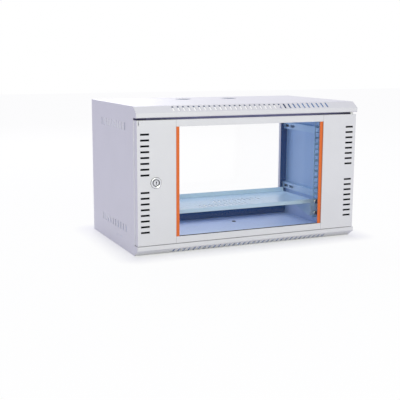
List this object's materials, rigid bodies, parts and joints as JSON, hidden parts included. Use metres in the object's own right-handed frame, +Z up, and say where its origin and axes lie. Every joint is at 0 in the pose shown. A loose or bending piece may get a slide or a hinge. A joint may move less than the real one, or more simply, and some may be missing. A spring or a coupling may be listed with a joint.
{
  "type": "wall rack cabinet",
  "caption": "Shallow wall cabinet for rack-mounted equipment, with slotted sides and covers, an open rear frame, a fitted shelf and a hinged glass door with a key lock.",
  "frame": {"origin": "centre of the footprint, at the underside", "axes": "+Z up, +X across the front towards the hinges, +Y from the door to the wall"},
  "size_m": [0.6, 0.3546, 0.352],
  "materials": {
    "body_paint": "fine powder coat, light grey",
    "door_paint": "fine powder coat, light grey",
    "clear_glass": "clear toughened glass",
    "orange_strip": "satin orange",
    "gasket_rubber": "matt black",
    "lock_chrome": "polished",
    "zinc_steel": "bright zinc plated",
    "nylon": "natural nylon"
  },
  "bodies": {
    "cabinet": {"top_cover": "body_paint", "bottom_cover": "body_paint", "left_side_panel": "body_paint", "right_side_panel": "body_paint", "rear_frame": "body_paint", "left_front_post": "body_paint", "right_front_post": "body_paint", "lower_left_depth_rail": "body_paint", "lower_right_depth_rail": "body_paint", "upper_left_depth_rail": "body_paint", "upper_right_depth_rail": "body_paint", "left_mounting_rail": "body_paint", "right_mounting_rail": "body_paint", "shelf": "body_paint", "rail_bolts": "zinc_steel", "rail_nuts": "zinc_steel", "shelf_screws": "zinc_steel", "cage_nuts": "zinc_steel", "top_hinge_bush": "nylon", "bottom_hinge_bush": "nylon"},
    "door": {"door_left_stile": "door_paint", "door_right_stile": "door_paint", "door_top_rail": "door_paint", "door_bottom_rail": "door_paint", "top_gasket": "gasket_rubber", "bottom_gasket": "gasket_rubber", "glass_pane": "clear_glass", "left_edge_strip": "orange_strip", "right_edge_strip": "orange_strip", "top_hinge_pin": "zinc_steel", "bottom_hinge_pin": "zinc_steel", "lock_housing": "lock_chrome", "lock_nut": "zinc_steel"},
    "lock": {"lock_plug": "lock_chrome", "lock_cam": "zinc_steel", "cam_screw": "zinc_steel"}
  },
  "joints": [
    {"name": "door_hinge", "type": "hinge", "parent": "cabinet", "child": "door", "pos_m": [0.289, -0.166, 0.176], "axis": [0, 0, 1], "range_deg": [0, 120]},
    {"name": "lock_turn", "type": "hinge", "parent": "door", "child": "lock", "pos_m": [-0.252, -0.163, 0.175], "axis": [0, -1, 0], "range_deg": [0, 90]}
  ]
}
